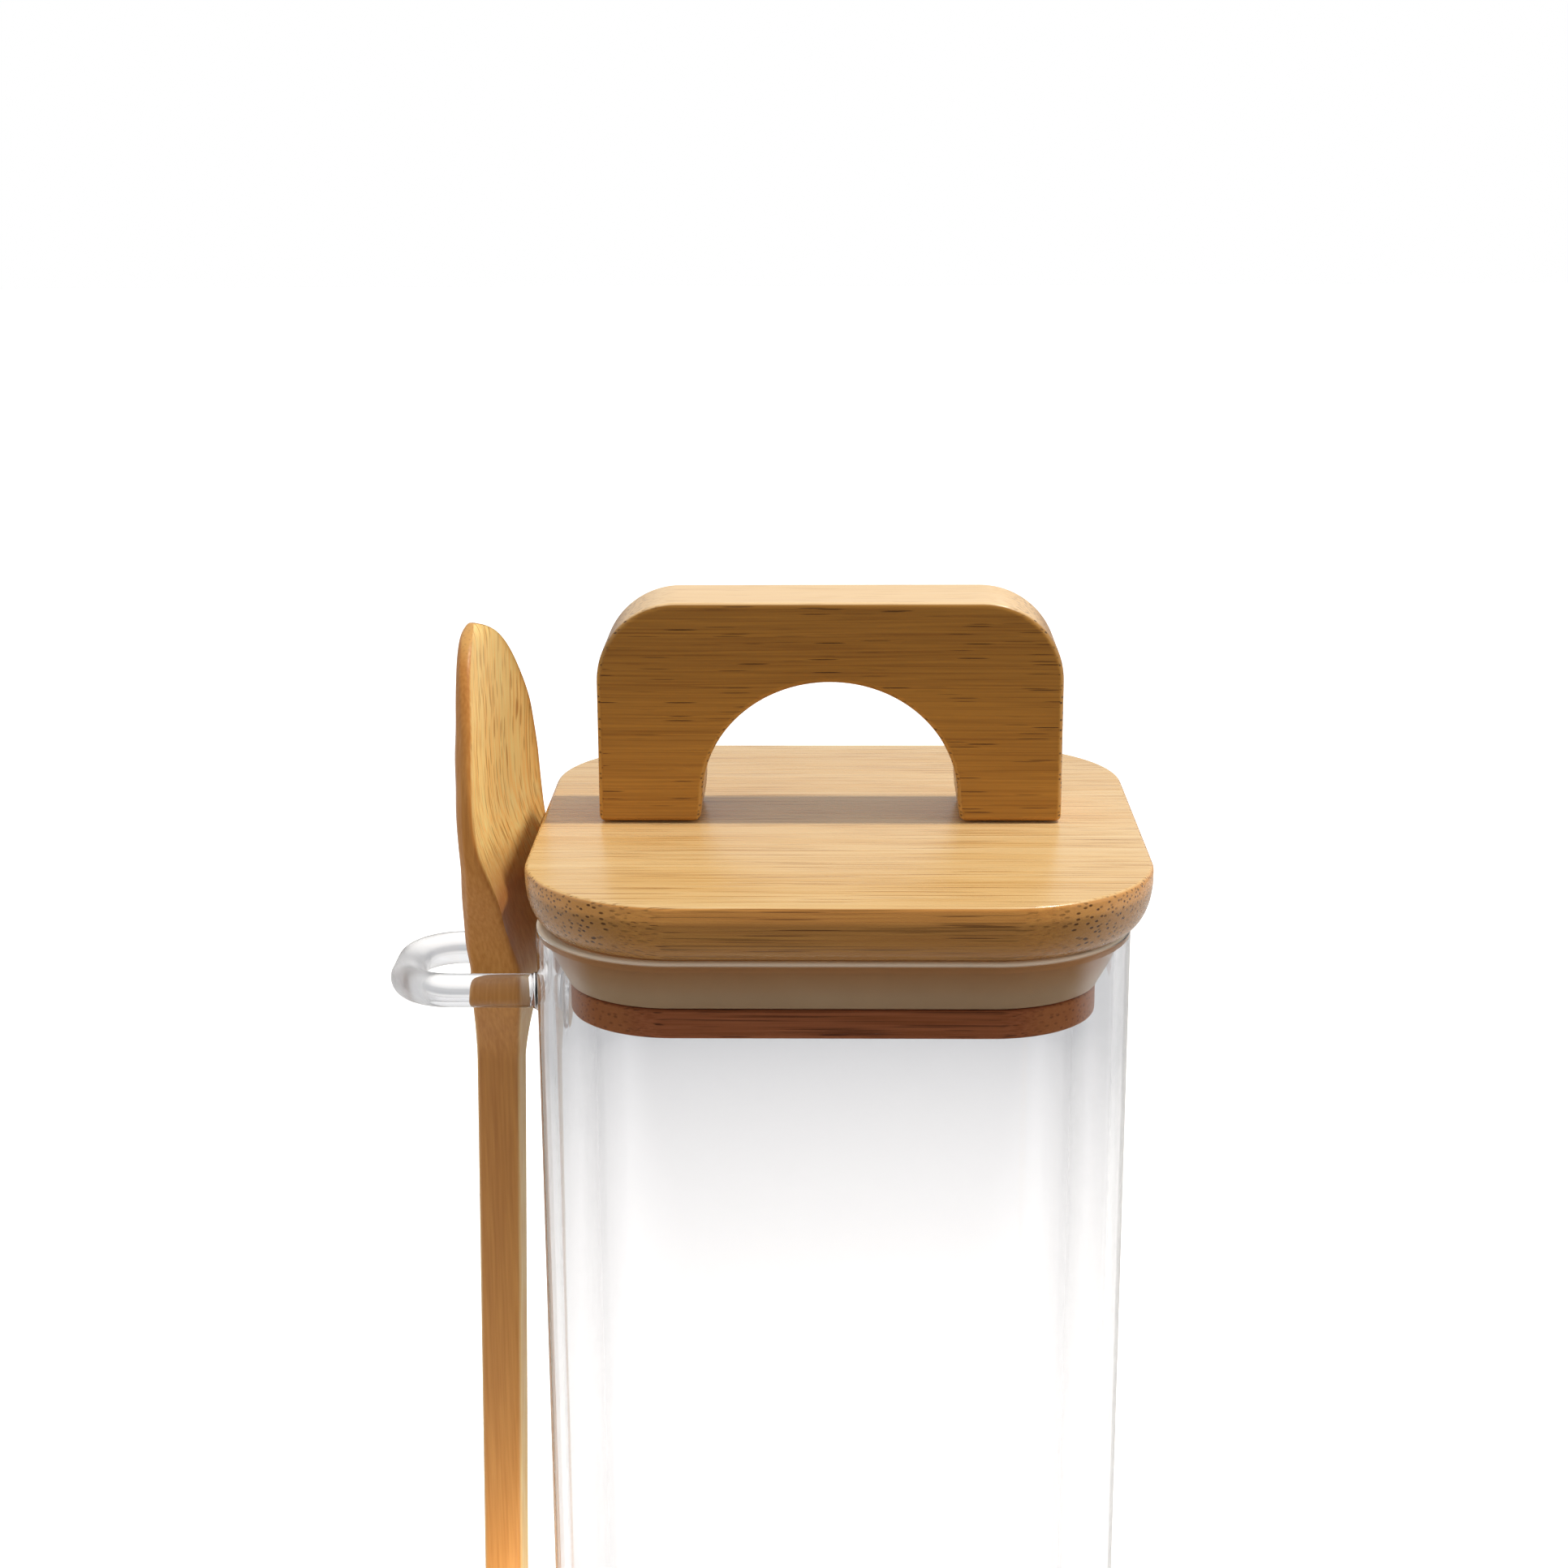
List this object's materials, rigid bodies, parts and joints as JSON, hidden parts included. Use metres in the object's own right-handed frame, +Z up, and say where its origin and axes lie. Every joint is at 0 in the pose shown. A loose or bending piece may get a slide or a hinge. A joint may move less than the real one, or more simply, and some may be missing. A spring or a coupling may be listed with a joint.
{
  "type": "glass canister",
  "caption": "Tall square glass canister with a sealed bamboo lid, an arch handle, and a long bamboo spoon hung in a glass loop on its side.",
  "frame": {"origin": "middle of the jar's flat bottom, on the surface that it stands on", "axes": "+Z up, out of the jar's mouth; -Y the front; -X the side that the spoon hangs on"},
  "size_m": [0.1325, 0.105, 0.2496],
  "materials": {
    "borosilicate_glass": "clear, flame-polished",
    "pale_bamboo": "satin lacquer",
    "warm_bamboo": "satin lacquer",
    "dark_bamboo": "oiled",
    "spoon_bamboo": "oiled",
    "milky_silicone": "matte, slightly see-through",
    "zinc_plated_steel": "zinc plated"
  },
  "bodies": {
    "jar": {"jar_body": "borosilicate_glass", "spoon_loop": "borosilicate_glass"},
    "lid": {"lid_board": "pale_bamboo", "plug_board": "dark_bamboo", "seal_ring": "milky_silicone", "lid_handle": "warm_bamboo", "handle_screw_left": "zinc_plated_steel", "handle_screw_right": "zinc_plated_steel"},
    "spoon": {"spoon": "spoon_bamboo"}
  },
  "joints": [
    {"name": "lid_lift", "type": "slide", "parent": "jar", "child": "lid", "axis": [0, 0, 1], "range_m": [0, 0.06]},
    {"name": "spoon_lift", "type": "slide", "parent": "jar", "child": "spoon", "axis": [0, 0, 1], "range_m": [0, 0.16]}
  ]
}
